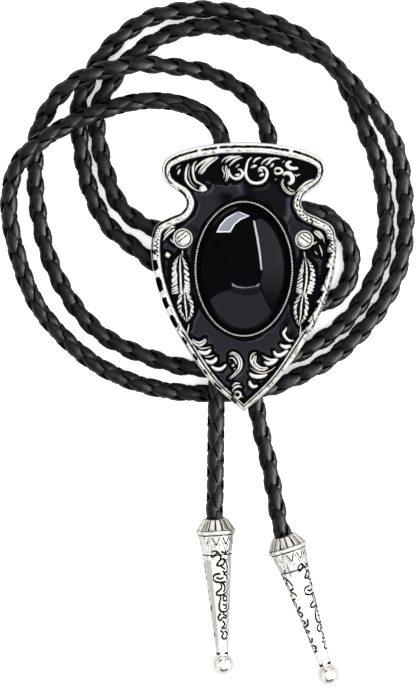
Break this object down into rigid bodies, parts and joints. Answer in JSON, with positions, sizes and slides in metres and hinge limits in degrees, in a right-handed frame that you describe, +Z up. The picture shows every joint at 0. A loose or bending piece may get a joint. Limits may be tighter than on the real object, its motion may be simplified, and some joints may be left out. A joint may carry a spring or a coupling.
{
  "type": "bolo tie",
  "caption": "Bolo tie with an arrowhead slide of antiqued cast metal, black enamel and a domed oval stone, on a braided leather cord with conical tips.",
  "frame": {"origin": "on the surface that the tie lies on, below the middle of the slide and the tips taken together", "axes": "+X across the tie to the viewer's right, +Y up the tie from the tips to the slide's top, +Z up out of the slide's face"},
  "size_m": [0.0954, 0.1579, 0.016],
  "materials": {
    "antiqued_silver": "bright raised work with dark antiqued recesses",
    "black_enamel": "glossy",
    "black_stone": "polished",
    "clasp_metal": "plain plated",
    "black_leather": "braided, soft sheen",
    "tip_silver": "polished with dark engraving"
  },
  "bodies": {
    "root": {"slide_casting": "antiqued_silver", "enamel_inlay": "black_enamel", "cabochon": "black_stone", "cord_clasp": "clasp_metal", "braided_cord": "black_leather", "tip_left": "tip_silver", "tip_right": "tip_silver"}
  },
  "joints": []
}
